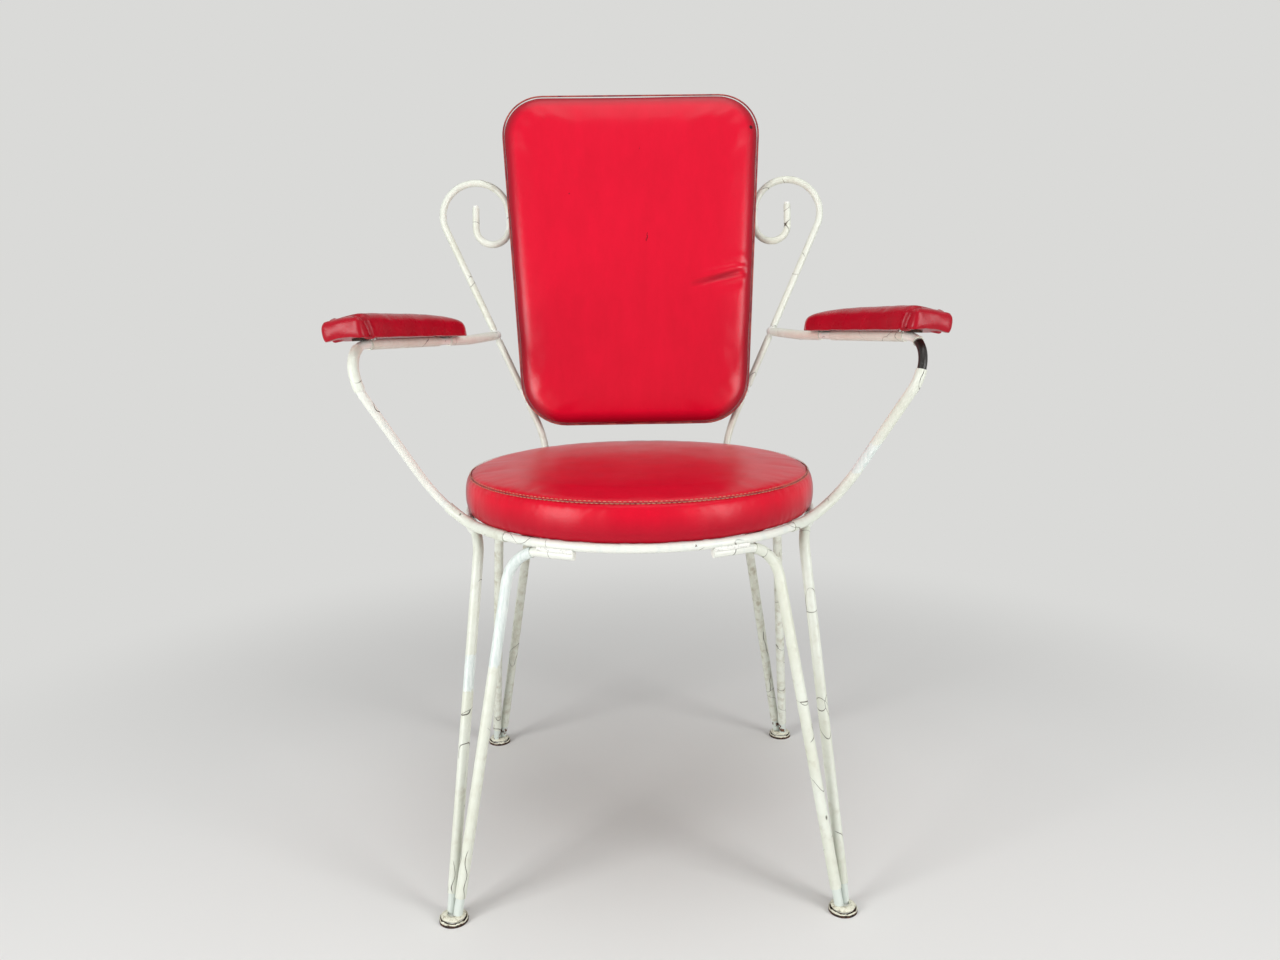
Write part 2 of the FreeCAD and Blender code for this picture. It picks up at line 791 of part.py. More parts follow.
def add_seat():
    tab_top = ring_z + seat_tab_top
    tabs, screws, holes = [], [], []
    for angle in seat_tab_angles:
        at = frame_at(on_ring(angle, z=tab_top), on_ring(angle, z=0) * -1, V(0, 0, 1))
        spot = at.multiply(frame_at(V(seat_tab_reach - tab_edge, 0, -tab_t),
                                    V(1, 0, 0), V(0, 0, 1)))
        hole = placed(screw_hole(), spot)
        plate = placed(tab(seat_tab_reach, 0), at).cut(ring_space).cut(hole)
        tabs.append(max(plate.Solids, key=lambda solid: solid.Volume))
        screws.append(placed(screw(), spot))
        holes.append(hole)
    add("seat_tabs", group(tabs))
    add("seat_screws", group(screws))

    def board_space(fit, below):
        return Part.makeCylinder(seat_rim_r - seat_board_in + fit, board_t + fit + below,
                                 V(0, 0, seat_z + vinyl_t + touch - below))

    window = Part.makeCylinder(seat_under_r - seat_hem, vinyl_t * 2,
                               V(0, 0, seat_z - vinyl_t / 2))
    welt = seat_strip(welt_w, 0.0)
    layers = layered(seat_form, board_space, window, holes, [seat_strip(welt_w * 2, touch)])
    for name, shape in zip(("seat_cover", "seat_foam", "seat_board"), layers):
        add(name, shape)
    add("seat_welt", welt)


def add_frame_welds():
    """Beads where the arm rod passes the rear ring, and where the stiles are joined."""
    past = on_ring(rear_ring_start + ring_bead_turn, ring_r + ring_bead_out,
                   ring_z + ring_bead_up)
    ring_joint = ball_weld(past, ring_bead_r, [ring_space, arm_space])
    foot_of_stile, _ = place(stile, stile_below)
    beads = []
    for side in (-1, 1):
        spot = foot_of_stile + V(side * stile_bead_side, -stile_bead_in, 0)
        beads.append(ball_weld(spot, stile_bead_r, [ring_space, stile_space]))
    arm_end = ball_weld(joint, stile_r + bead_r, [stile_space, arm_space])
    arm_pieces("ring_joint_welds", [ring_joint])
    arm_pieces("stile_foot_welds", beads)
    arm_pieces("arm_end_welds", [arm_end])


def centred(shapes):
    """Everything shifted along Y, so that y = 0 is half way from front to back."""
    box = Part.makeCompound(list(shapes.values())).BoundBox
    shift = V(0, -(box.YMin + box.YMax) / 2, 0)
    for shape in shapes.values():
        shape.translate(shift)
    return shift


add_arms()
add_stiles()
add_legs()
add_frame_welds()
add_seat()
centred(parts)

os.makedirs("parts", exist_ok=True)
for name, shape in parts.items():
    shape.exportStep("parts/%s.step" % name)
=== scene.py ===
import bpy
import bmesh
import math
from mathutils import Matrix, Vector, noise


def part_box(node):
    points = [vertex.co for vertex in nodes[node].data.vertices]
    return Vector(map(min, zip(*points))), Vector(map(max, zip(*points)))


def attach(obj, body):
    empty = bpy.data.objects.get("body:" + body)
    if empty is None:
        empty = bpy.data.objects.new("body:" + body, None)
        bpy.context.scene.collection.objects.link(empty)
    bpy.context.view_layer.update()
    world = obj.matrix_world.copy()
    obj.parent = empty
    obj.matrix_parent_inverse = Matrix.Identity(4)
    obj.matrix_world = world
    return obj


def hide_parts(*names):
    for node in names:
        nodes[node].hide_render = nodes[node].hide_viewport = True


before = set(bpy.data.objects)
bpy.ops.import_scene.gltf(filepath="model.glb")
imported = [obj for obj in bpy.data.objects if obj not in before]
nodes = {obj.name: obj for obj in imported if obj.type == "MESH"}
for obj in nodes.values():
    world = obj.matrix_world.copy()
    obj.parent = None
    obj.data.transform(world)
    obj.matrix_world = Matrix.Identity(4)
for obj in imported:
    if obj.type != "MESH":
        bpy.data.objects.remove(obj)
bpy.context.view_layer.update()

# Retro garden armchair of bent steel rod: cream plastic sleeves, brushed white paint over rust,
# crimson vinyl seat, back and arm pads. Metres; the sitter faces -Y.


def hexColor(code):
    # sRGB hex to the linear colour that a shader takes
    parts = [int(code[i:i + 2], 16) / 255 for i in (1, 3, 5)]
    linear = [p / 12.92 if p <= 0.04045 else ((p + 0.055) / 1.055) ** 2.4 for p in parts]
    return tuple(linear) + (1.0,)


def addNode(tree, kind, sockets=None, **settings):
    node = tree.nodes.new(kind)
    for name, value in settings.items():
        setattr(node, name, value)
    for name, value in (sockets or {}).items():
        if isinstance(value, bpy.types.NodeSocket):
            tree.links.new(value, node.inputs[name])
        else:
            node.inputs[name].default_value = value
    return node


def newMaterial(name, **shaderValues):
    material = bpy.data.materials.new(name)
    material.use_nodes = True
    tree = material.node_tree
    tree.nodes.clear()
    output = addNode(tree, "ShaderNodeOutputMaterial")
    shader = addNode(tree, "ShaderNodeBsdfPrincipled")
    tree.links.new(shader.outputs["BSDF"], output.inputs["Surface"])
    for socket, value in shaderValues.items():
        shader.inputs[socket.replace("_", " ")].default_value = value
    place = addNode(tree, "ShaderNodeTexCoord").outputs["Object"]
    return material, tree, shader, place


def ramp(tree, value, low, high, first=0.0, last=1.0):
    # A value stretched from one range to another and held there
    return addNode(tree, "ShaderNodeMapRange", {"Value": value, "From Min": low, "From Max": high,
                                               "To Min": first, "To Max": last}).outputs["Result"]


def blend(tree, factor, first, second):
    # The second colour laid over the first
    node = addNode(tree, "ShaderNodeMix", {"Factor": factor}, data_type="RGBA")
    colourSockets = [s for s in node.inputs if s.type == "RGBA"]
    for socket, value in zip(colourSockets, (first, second)):
        if isinstance(value, bpy.types.NodeSocket):
            tree.links.new(value, socket)
        else:
            socket.default_value = value
    return [s for s in node.outputs if s.type == "RGBA"][0]


def calc(tree, operation, first, second=0.0):
    return addNode(tree, "ShaderNodeMath", {0: first, 1: second}, operation=operation).outputs[0]


def noiseAt(tree, place, scale, detail=3.0, rough=0.55, stretch=None):
    # Noise whose lumps are 1 / scale metres wide
    if stretch:
        place = addNode(tree, "ShaderNodeMapping", {"Vector": place, "Scale": stretch}).outputs[0]
    return addNode(tree, "ShaderNodeTexNoise", {"Vector": place, "Scale": scale, "Detail": detail,
                                               "Roughness": rough}).outputs["Fac"]


def near(tree, place, point, inner, outer):
    # 1 within inner metres of a point, falling to 0 at outer
    away = addNode(tree, "ShaderNodeVectorMath", {0: place, 1: point}, operation="DISTANCE")
    return ramp(tree, away.outputs["Value"], outer, inner)


def alongLine(tree, place, start, end, width):
    # 1 on a straight line, fading to 0 at a distance of width and towards its ends
    way = (end - start).normalized()
    kind = "ShaderNodeVectorMath"
    away = addNode(tree, kind, {0: place, 1: start}, operation="SUBTRACT").outputs[0]
    side = addNode(tree, kind, {0: away, 1: way}, operation="CROSS_PRODUCT").outputs[0]
    gap = addNode(tree, kind, {0: side}, operation="LENGTH").outputs["Value"]
    share = addNode(tree, kind, {0: away, 1: way}, operation="DOT_PRODUCT").outputs["Value"]
    length = (end - start).length
    ends = calc(tree, "MULTIPLY", ramp(tree, share, 0.0, length * 0.15),
                ramp(tree, share, length, length * 0.4))
    return calc(tree, "MULTIPLY", ramp(tree, gap, width, 0.0), ends)


def heightOf(tree, place):
    return addNode(tree, "ShaderNodeSeparateXYZ", {0: place}).outputs["Z"]


def bump(tree, height, distance, strength, normal=None):
    sockets = {"Height": height, "Distance": distance, "Strength": strength}
    if normal:
        sockets["Normal"] = normal
    return addNode(tree, "ShaderNodeBump", sockets).outputs["Normal"]


def feed(tree, shader, **sockets):
    for name, value in sockets.items():
        tree.links.new(value, shader.inputs[name.replace("_", " ")])


# ---- materials ----

sleeve = {"cream": "#dde1d6", "yellowed": "#d3d6c6", "grime": "#a59c84", "crack": "#4a4236",
          "paint": "#dfe6e2", "thinPaint": "#cdd7d3", "crackCell": 0.066, "crackWidth": 0.0062,
          "crackBend": 0.055, "bandEdge": 0.003, "bandRagged": 0.030}


def crackLines(tree, place):
    # Fine curved age cracks: 1 on a crack, 0 elsewhere
    warp = addNode(tree, "ShaderNodeTexNoise", {"Vector": place, "Scale": 22.0, "Detail": 1.0})
    bent = blend(tree, sleeve["crackBend"], place, warp.outputs["Color"])
    cells = addNode(tree, "ShaderNodeTexVoronoi", {"Vector": bent, "Scale": 1 / sleeve["crackCell"],
                                                   "Randomness": 1.0}, feature="DISTANCE_TO_EDGE")
    line = ramp(tree, cells.outputs["Distance"], sleeve["crackWidth"], sleeve["crackWidth"] * 0.3)
    where = ramp(tree, noiseAt(tree, place, 19.0, 2.0), 0.50, 0.54)
    return calc(tree, "MULTIPLY", line, where)


def creamSleeve(name="agedPvcTube", paintBands=(), grime=0.15, chips=False):
    # Extruded PVC tube: soft semi-gloss, yellowed, with fine curved age cracks
    material, tree, shader, place = newMaterial(name, Roughness=0.4, IOR=1.52)
    cracks = crackLines(tree, place)
    age = ramp(tree, noiseAt(tree, place, 14.0, 4.0), 0.40, 0.70)
    tone = blend(tree, age, hexColor(sleeve["cream"]), hexColor(sleeve["yellowed"]))
    mottle = ramp(tree, noiseAt(tree, place, 110.0, 3.0, 0.6), 0.45, 0.75, 0.0, grime)
    tone = blend(tree, mottle, tone, hexColor(sleeve["grime"]))
    dirt = ramp(tree, noiseAt(tree, place, 55.0, 3.0), 0.60, 0.74, 0.0, 0.1 + grime)
    tone = blend(tree, dirt, tone, hexColor(sleeve["grime"]))
    height = heightOf(tree, place)
    edge = calc(tree, "MULTIPLY", noiseAt(tree, place, 130.0, 4.0, 0.7), sleeve["bandRagged"])
    strokes = ramp(tree, noiseAt(tree, place, 420.0, 3.0, 0.6, (1.0, 1.0, 0.12)), 0.40, 0.62)
    brushed = blend(tree, strokes, hexColor(sleeve["paint"]), hexColor(sleeve["thinPaint"]))
    ragged = calc(tree, "ADD", height, edge)
    for low, high in paintBands:
        band = calc(tree, "MULTIPLY", ramp(tree, ragged, low, low + sleeve["bandEdge"]),
                    ramp(tree, ragged, high, high - sleeve["bandEdge"]))
        tone = blend(tree, band, tone, brushed)
        cracks = calc(tree, "MULTIPLY", cracks, calc(tree, "SUBTRACT", 1.0, band))
    if chips:
        pits = ramp(tree, noiseAt(tree, place, 170.0, 2.0, 0.5, (1.0, 1.0, 0.5)), 0.70, 0.73)
        cracks = calc(tree, "MAXIMUM", cracks, pits)
    tone = blend(tree, cracks, tone, hexColor(sleeve["crack"]))
    dents = bump(tree, noiseAt(tree, place, 90.0, 2.0), 0.0006, 0.35)
    feed(tree, shader, Base_Color=tone,
         Normal=bump(tree, calc(tree, "SUBTRACT", 1.0, cracks), 0.0006, 0.9, dents))
    return material


rodPaint = {"white": "#e4e6dd", "thin": "#d6ddd8", "foot": "#d2dad3", "rust": "#6b4430",
            "black": "#181512", "footHigh": 0.058, "footLow": 0.040,
            "bareBend": (0.2945, -0.131, 0.568), "bareInner": 0.020, "bareOuter": 0.024}


def brushedPaint(name="brushedEnamelOnSteel", wear=0.0):
    # House enamel brushed over old rod: creamy white, faintly streaked, chipped to rust
    material, tree, shader, place = newMaterial(name, IOR=1.5)
    streaks = noiseAt(tree, place, 130.0, 3.0, 0.6, (1.0, 1.0, 0.3))
    tone = blend(tree, ramp(tree, streaks, 0.50, 0.75, 0.0, 0.8), hexColor(rodPaint["white"]),
                 hexColor(rodPaint["thin"]))
    level = calc(tree, "ADD", heightOf(tree, place), calc(tree, "MULTIPLY", streaks, 0.02))
    tone = blend(tree, ramp(tree, level, rodPaint["footHigh"], rodPaint["footLow"]), tone,
                 hexColor(rodPaint["foot"]))
    cracks = calc(tree, "MULTIPLY", crackLines(tree, place), ramp(tree, level, 0.06, 0.09))
    tone = blend(tree, cracks, tone, hexColor(sleeve["crack"]))
    bareBend = near(tree, place, rodPaint["bareBend"], rodPaint["bareInner"], rodPaint["bareOuter"])
    ways = addNode(tree, "ShaderNodeSeparateXYZ", {0: place})
    rear = ramp(tree, ways.outputs["Y"], 0.02, 0.12, 0.0, 0.09)
    field = calc(tree, "ADD", noiseAt(tree, place, 75.0, 6.0, 0.7), rear)
    worn = ramp(tree, field, 0.700 - wear, 0.715 - wear)
    rustTone = blend(tree, ramp(tree, noiseAt(tree, place, 260.0, 4.0), 0.4, 0.65),
                     hexColor(rodPaint["rust"]), hexColor(rodPaint["black"]))
    tone = blend(tree, worn, tone, rustTone)
    tone = blend(tree, bareBend, tone, hexColor(rodPaint["black"]))
    feed(tree, shader, Base_Color=tone, Roughness=ramp(tree, worn, 0.0, 1.0, 0.36, 0.8),
         Normal=bump(tree, calc(tree, "SUBTRACT", calc(tree, "SUBTRACT", streaks, worn), cracks),
                     0.0003, 0.5))
    return material


def tornCoating():
    # Thin plastic coating over the foot, torn and folded: cream, grimy, dark at the floor
    material, tree, shader, place = newMaterial("tornPlasticCoating", Roughness=0.55)
    grit = noiseAt(tree, place, 600.0, 4.0, 0.7)
    grime = ramp(tree, noiseAt(tree, place, 260.0, 4.0, 0.7), 0.50, 0.68, 0.0, 0.85)
    low = ramp(tree, heightOf(tree, place), 0.0011, 0.0005)
    tone = blend(tree, grime, hexColor("#e0dfcc"), hexColor("#8c8166"))
    tone = blend(tree, low, tone, hexColor("#2c2118"))
    feed(tree, shader, Base_Color=tone, Normal=bump(tree, grit, 0.0005, 0.7))
    return material


def paintedWeld():
    # Stick-weld bead brushed over with white enamel, greyer in its ripples
    material, tree, shader, place = newMaterial("paintedWeldBead", Roughness=0.5)
    ripple = noiseAt(tree, place, 420.0, 3.0)
    tone = blend(tree, ramp(tree, ripple, 0.56, 0.66), hexColor("#ecece6"), hexColor("#c8cbc3"))
    feed(tree, shader, Base_Color=tone, Normal=bump(tree, ripple, 0.0010, 0.8))
    return material


# The pads' crimson is a darker copy of the seat's: painted shade for the pads
vinyl = {"back": ("#d7072c", "#ca0627"), "seat": ("#d60729", "#c30623"),
         "pad": ("#ac0922", "#90081a"), "crack": "#3a0710", "creaseShade": "#740519", "grain": 0.0016,
         "gloss": {"back": 0.22, "seat": 0.28, "pad": 0.25},
         "shine": {"back": 0.25, "seat": 0.20, "pad": 0.22},
         "creaseStart": (0.1500, 0.1682, 0.6630), "creaseEnd": (0.0700, 0.1636, 0.6446),
         "creaseWidth": 0.0052, "splitPlace": 0.0285, "splitWander": 0.030, "splitInner": 0.0005,
         "splitOuter": 0.0015,
         "nicks": [((0.1580, 0.2132, 0.8474), 0.0034), ((-0.0820, 0.1875, 0.7640), 0.0013)]}

# Painted shade: where the vinyl is darkened as light falls off, on the back's rolled rim, the seat's
# underside and its left and right ends
paintedShade = {"low": 0.4680, "top": 0.8925, "half": 0.1455, "slope": 0.0617, "corner": 0.055,
           "inner": 0.0160, "outer": 0.0050, "tone": "#8e061d", "seatLow": 0.4050,
           "seatHigh": 0.4250, "seatSide": 0.1820, "seatEnd": 0.1990}


def shadedRimOfBack(tree, place):
    # 1 on the back's rounded outline, fading to 0 a finger's width in: the band of painted shade on the
    # rolled rim
    ways = addNode(tree, "ShaderNodeSeparateXYZ", {0: place}).outputs
    rise = calc(tree, "SUBTRACT", ways["Z"], paintedShade["low"])
    half = calc(tree, "ADD", calc(tree, "MULTIPLY", rise, paintedShade["slope"]), paintedShade["half"])
    across = calc(tree, "SUBTRACT", half, calc(tree, "ABSOLUTE", ways["X"]))
    along = calc(tree, "MINIMUM", rise, calc(tree, "SUBTRACT", paintedShade["top"], ways["Z"]))
    short = [calc(tree, "MAXIMUM", calc(tree, "SUBTRACT", paintedShade["corner"], gap))
             for gap in (across, along)]
    squares = calc(tree, "ADD", *[calc(tree, "POWER", part, 2.0) for part in short])
    inward = calc(tree, "SUBTRACT", paintedShade["corner"], calc(tree, "SQRT", squares))
    return ramp(tree, inward, paintedShade["inner"], paintedShade["outer"], 0.0, 0.85)


def crimsonVinyl(name, cushion):
    # Calendered upholstery vinyl: bright crimson, fine leather grain, broad soft gloss
    material, tree, shader, place = newMaterial(name, IOR=1.5,
                                                Specular_IOR_Level=vinyl["shine"][cushion])
    cells = addNode(tree, "ShaderNodeTexVoronoi", {"Vector": place, "Scale": 1 / vinyl["grain"]},
                    feature="DISTANCE_TO_EDGE")
    streaks = noiseAt(tree, place, 38.0, 6.0, 0.7, (1.0, 1.0, 0.3))
    tone = blend(tree, ramp(tree, streaks, 0.30, 0.72, 0.0, 0.8),
                 *[hexColor(code) for code in vinyl[cushion]])
    if cushion == "seat":
        # Painted shade on the seat: darker towards the bottom of its side, where the ring shades it, and
        # at its left and right ends, which turn away from the lamps
        underShade = ramp(tree, heightOf(tree, place), paintedShade["seatHigh"], paintedShade["seatLow"],
                     0.0, 0.6)
        tone = blend(tree, underShade, tone, hexColor(paintedShade["tone"]))
        ends = addNode(tree, "ShaderNodeSeparateXYZ", {0: place}).outputs["X"]
        ends = ramp(tree, calc(tree, "ABSOLUTE", ends), paintedShade["seatSide"], paintedShade["seatEnd"],
                    0.0, 0.7)
        tone = blend(tree, ends, tone, hexColor(paintedShade["tone"]))
    if cushion == "back":
        # Painted shade: the back's rolled rim darkened
        tone = blend(tree, shadedRimOfBack(tree, place), tone, hexColor(paintedShade["tone"]))
        ways = addNode(tree, "ShaderNodeSeparateXYZ", {0: place})
        wander = calc(tree, "MULTIPLY", noiseAt(tree, place, 16.0, 3.0), vinyl["splitWander"])
        across = calc(tree, "SUBTRACT", calc(tree, "ADD", ways.outputs["X"], wander),
                      vinyl["splitPlace"])
        strip = ramp(tree, calc(tree, "ABSOLUTE", across), vinyl["splitOuter"],
                     vinyl["splitInner"])
        flecks = ramp(tree, noiseAt(tree, place, 60.0, 5.0, 0.8, (1.0, 1.0, 0.35)), 0.60, 0.64)
        tone = blend(tree, calc(tree, "MULTIPLY", strip, flecks), tone, hexColor(vinyl["crack"]))
        # Painted shade along the main crease in the back's cover
        shade = alongLine(tree, place, Vector(vinyl["creaseStart"]), Vector(vinyl["creaseEnd"]),
                          vinyl["creaseWidth"])
        tone = blend(tree, shade, tone, hexColor(vinyl["creaseShade"]))
        for spot, size in vinyl["nicks"]:
            nick = near(tree, place, spot, size * 0.5, size)
            tone = blend(tree, nick, tone, hexColor(vinyl["crack"]))
    grain = bump(tree, ramp(tree, cells.outputs["Distance"], 0.0, 0.25), 0.00008, 0.4)
    gloss = vinyl["gloss"][cushion]
    feed(tree, shader, Base_Color=tone,
         Roughness=ramp(tree, noiseAt(tree, place, 30.0, 4.0), 0.3, 0.7, gloss, gloss + 0.05),
         Normal=bump(tree, noiseAt(tree, place, 120.0, 3.0), 0.0003, 0.25, grain))
    return material


def wornPiping():
    # Vinyl-covered cord: dark crimson, rubbed to a brick red in patches
    material, tree, shader, place = newMaterial("rubbedVinylPiping", Roughness=0.5)
    rubbed = ramp(tree, noiseAt(tree, place, 90.0, 4.0), 0.42, 0.60)
    tone = blend(tree, rubbed, hexColor("#7c1422"), hexColor("#a14a40"))
    feed(tree, shader, Base_Color=tone,
         Normal=bump(tree, noiseAt(tree, place, 600.0, 2.0), 0.0002, 0.5))
    return material


def tanThread():
    # Waxed cotton thread gone tan: matt, with the twist just visible
    material, tree, shader, place = newMaterial("waxedCottonThread", Roughness=0.8)
    twist = noiseAt(tree, place, 900.0, 2.0)
    tone = blend(tree, ramp(tree, twist, 0.35, 0.65), hexColor("#cfa684"), hexColor("#a87055"))
    feed(tree, shader, Base_Color=tone, Normal=bump(tree, twist, 0.0002, 0.8))
    return material


def rustedTabAsShade():
    # Bare mild steel strap gone brown-black, with orange blooms; this dark also stands as painted shade on
    # the tabs under the pads and seat and in the foot discs' torn coating
    material, tree, shader, place = newMaterial("rustedSteelAndShade", Metallic=0.2, Roughness=0.75)
    blooms = noiseAt(tree, place, 300.0, 5.0, 0.7)
    tone = blend(tree, ramp(tree, blooms, 0.45, 0.70), hexColor("#241a15"), hexColor("#6a3f28"))
    feed(tree, shader, Base_Color=tone, Normal=bump(tree, blooms, 0.0004, 0.7))
    return material


def plywoodSheet():
    # Birch plywood: pale rotary-cut face, grain along X
    material, tree, shader, place = newMaterial("birchPlywood", Roughness=0.72)
    grain = noiseAt(tree, place, 260.0, 4.0, 0.6, (0.06, 1.0, 1.0))
    tone = blend(tree, grain, hexColor("#b08a5a"), hexColor("#8a6238"))
    stain = ramp(tree, noiseAt(tree, place, 12.0, 4.0), 0.52, 0.70, 0.0, 0.5)
    tone = blend(tree, stain, tone, hexColor("#5a4028"))
    feed(tree, shader, Base_Color=tone, Normal=bump(tree, grain, 0.0003, 0.5))
    return material


def hardboard():
    # Tempered hardboard: dark brown, hard, faintly mottled
    material, tree, shader, place = newMaterial("temperedHardboard", Roughness=0.55)
    fibre = noiseAt(tree, place, 500.0, 4.0, 0.7)
    tone = blend(tree, fibre, hexColor("#3a241a"), hexColor("#5a3a28"))
    feed(tree, shader, Base_Color=tone, Normal=bump(tree, fibre, 0.0002, 0.4))
    return material


def dullSteel():
    # Plated wood screws gone dull, with specks of rust
    material, tree, shader, place = newMaterial("dullPlatedSteel", Metallic=0.9, Roughness=0.45)
    specks = ramp(tree, noiseAt(tree, place, 600.0, 4.0), 0.55, 0.65)
    feed(tree, shader, Base_Color=blend(tree, specks, hexColor("#8a8782"), hexColor("#5c3a26")))
    return material


def latexFoam():
    # Open-cell foam: matt, straw coloured, pitted
    material, tree, shader, place = newMaterial("openCellFoam", Roughness=0.95)
    pits = noiseAt(tree, place, 500.0, 4.0, 0.7)
    feed(tree, shader, Base_Color=blend(tree, pits, hexColor("#c9ad6a"), hexColor("#a58848")),
         Normal=bump(tree, pits, 0.0010, 0.8))
    return material


finishes = {"cream": creamSleeve(), "paint": brushedPaint(),
            "rearPaint": brushedPaint("chippedEnamelOnSteel", 0.06), "foot": tornCoating(),
            "grimyCream": creamSleeve("grimyPvcTube", grime=0.55),
            "patchedInner": creamSleeve("patchedPvcTube", [(0.277, 0.43)]),
            "patchedOuter": creamSleeve("repairedPvcTube", [(0.237, 0.277)]),
            "patchedArm": creamSleeve("mendedPvcTube", [(0.455, 0.490)]),
            "chippedArm": creamSleeve("chippedPvcTube", chips=True),
            "weld": paintedWeld(), "vinyl": crimsonVinyl("calenderedVinyl", "seat"),
            "backVinyl": crimsonVinyl("crackedVinyl", "back"),
            "padVinyl": crimsonVinyl("shadedPadVinyl", "pad"), "tabRustAndShade": rustedTabAsShade(),
            "piping": wornPiping(), "thread": tanThread(), "plywood": plywoodSheet(), "panel": hardboard(),
            "screw": dullSteel(), "foam": latexFoam()}

# The first word found in a node's name gives its finish; the rest wear brushed paint
nodeFinish = [("front_leg_inner_sleeve_left", "patchedInner"),
              ("arm_lower_sleeve_left", "chippedArm"),
              ("arm_lower_sleeve_right", "patchedArm"), ("seat_tabs", "tabRustAndShade"),
              ("rear_leg_inner_sleeve", "grimyCream"), ("rear_leg_outer_sleeve", "grimyCream"),
              ("front_leg_outer_sleeve_left", "patchedOuter"), ("sleeve", "cream"),
              ("foot_disc", "tabRustAndShade"), ("arm_tabs", "tabRustAndShade"), ("welds", "weld"),
              ("screws", "screw"), ("panel", "panel"),
              ("foam", "foam"), ("cover", "vinyl"), ("welt", "piping"), ("board", "plywood"),
              ("rear_ring", "rearPaint"), ("rear_leg", "rearPaint")]


def dress(thing, finish):
    thing.data.materials.clear()
    thing.data.materials.append(finishes[finish])


for name, node in nodes.items():
    found = [finish for word, finish in nodeFinish if word in name]
    dress(node, found[0] if found else "paint")
print("materials on", len(nodes), "CAD nodes")


# ---- helpers for the new pieces ----

def toObject(name, mesh, finish):
    thing = bpy.data.objects.new(name, mesh)
    bpy.context.scene.collection.objects.link(thing)
    dress(thing, finish)
    return thing


def meshOf(bm, name):
    bmesh.ops.remove_doubles(bm, verts=bm.verts, dist=0.00002)
    bmesh.ops.recalc_face_normals(bm, faces=bm.faces)
    mesh = bpy.data.meshes.new(name)
    bm.to_mesh(mesh)
    bm.free()
    for face in mesh.polygons:
        face.use_smooth = True
    return mesh


def applied(thing):
    # The object with its modifiers made real
    graph = bpy.context.evaluated_depsgraph_get()
    mesh = bpy.data.meshes.new_from_object(thing.evaluated_get(graph))
    old = thing.data
    thing.modifiers.clear()
    thing.data = mesh
    bpy.data.meshes.remove(old)
    for face in thing.data.polygons:
        face.use_smooth = True


def remeshed(thing, voxel):
    modifier = thing.modifiers.new("voxels", "REMESH")
    modifier.mode = "VOXEL"
    modifier.voxel_size = voxel
    applied(thing)


def puffed(thing, pressure, cap, isHeld):
    # Swells a closed form like stuffing under its cover; held points stay
    held = thing.vertex_groups.new(name="held")
    for vertex in thing.data.vertices:
        share = isHeld(vertex.co)
        if share > 0:
            held.add([vertex.index], share, "REPLACE")
    start = [vertex.co.copy() for vertex in thing.data.vertices]
    modifier = thing.modifiers.new("swell", "CLOTH")
    cloth = modifier.settings
    cloth.use_pressure = True
    cloth.uniform_pressure_force = pressure
    cloth.quality = 6
    cloth.tension_stiffness = 25
    cloth.compression_stiffness = 25
    cloth.bending_stiffness = 2.0
    cloth.vertex_group_mass = "held"
    cloth.effector_weights.gravity = 0.0
    modifier.point_cache.frame_start = 1
    modifier.point_cache.frame_end = 20
    for step in range(1, 21):
        bpy.context.scene.frame_set(step)
    applied(thing)
    bpy.context.scene.frame_set(1)
    for vertex, rest in zip(thing.data.vertices, start):
        move = vertex.co - rest
        if move.length > cap:
            vertex.co = rest + move * (cap / move.length)
    thing.vertex_groups.clear()


def smoothed(thing, times):
    modifier = thing.modifiers.new("ease", "SMOOTH")
    modifier.factor = 0.5
    modifier.iterations = times
    applied(thing)


def subdivided(thing):
    modifier = thing.modifiers.new("smooth", "SUBSURF")
    modifier.levels = 1
    modifier.render_levels = 1
    applied(thing)


def reshaped(thing, move):
    # Moves each point by what a function of its place and normal gives
    shifts = [move(vertex.co, vertex.normal) for vertex in thing.data.vertices]
    for vertex, shift in zip(thing.data.vertices, shifts):
        vertex.co += shift


def dip(distance, width):
    return math.exp(-(distance / width) ** 2)


# ---- seat cushion ----

seatLow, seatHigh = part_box("seat_cover")
seat = {"centre": Vector((0, (seatLow.y + seatHigh.y) / 2, seatLow.z)), "seamRadius": 0.1946,
        "seamHeight": 0.0442, "voxel": 0.0045, "pressure": 4.0, "cap": 0.0012,
        "profile": [(0.0, 0.0028), (0.150, 0.0028), (0.1865, 0.0012), (0.1930, 0.0014),
                    (0.1962, 0.0034), (0.1984, 0.0056), (0.1997, 0.0100), (0.2004, 0.0160),
                    (0.2006, 0.0230), (0.2001, 0.0300), (0.1990, 0.0360), (0.1972, 0.0410),
                    (0.1950, 0.0440), (0.1912, 0.0466), (0.184, 0.0487), (0.165, 0.0502),
                    (0.120, 0.0514), (0.060, 0.0521), (0.0, 0.0524)],
        "seamDip": 0.0013, "seamWidth": 0.0030, "broadWave": 0.0007, "fineWave": 0.0006,
        "topWave": 0.0010, "cord": 0.0007, "cordSunk": 0.0006, "stitch": 0.0041,
        "stitchGap": 0.0011, "thread": 0.00032, "hemInner": 0.150, "gather": 0.012,
        "staples": 44, "stapleRing": 0.159, "stapleSize": (0.0006, 0.0100, 0.0006)}


